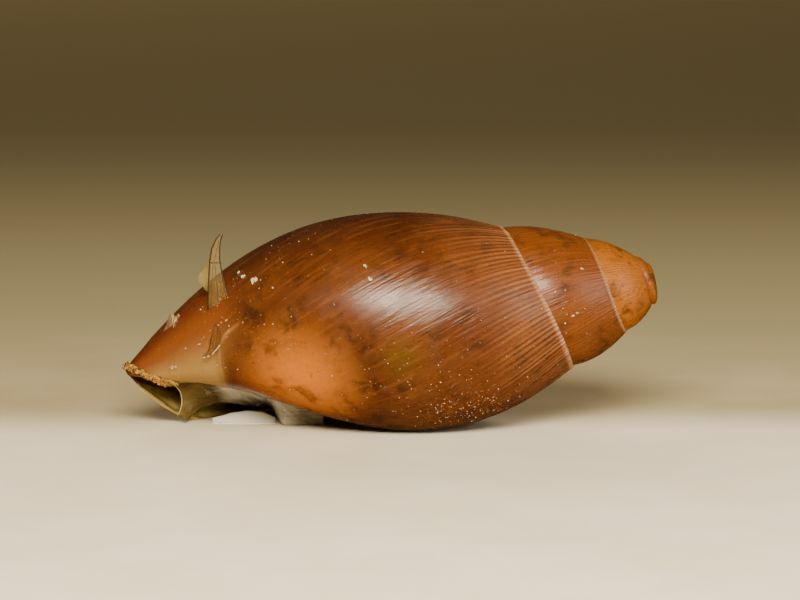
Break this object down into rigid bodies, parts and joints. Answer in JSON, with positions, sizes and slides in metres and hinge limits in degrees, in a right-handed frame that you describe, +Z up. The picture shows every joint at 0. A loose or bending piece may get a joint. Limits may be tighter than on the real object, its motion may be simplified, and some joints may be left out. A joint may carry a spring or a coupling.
{
  "type": "land snail shell",
  "caption": "Empty long-spired right-handed land snail shell lying on its opening, thin-walled and hollow, with dried film and wing scraps stuck to it.",
  "frame": {"origin": "middle of the object's box in X and Y, on the ground it lies on", "axes": "+X along the shell towards the spire, +Z up from the ground, the opening under the +Y side"},
  "size_m": [0.0252, 0.0114, 0.0101],
  "materials": {
    "shell": "glossy, translucent orange-brown",
    "film": "translucent, glossy, wrinkled",
    "wing": "transparent with brown veins",
    "wing_dark": "satin",
    "crumb": "rough, crumbly"
  },
  "bodies": {
    "root": {"shell": "shell", "mucus_film": "film", "upright_wing": "wing", "flat_wing": "wing", "wing_scrap": "wing_dark", "tip_crumb": "crumb"}
  },
  "joints": []
}
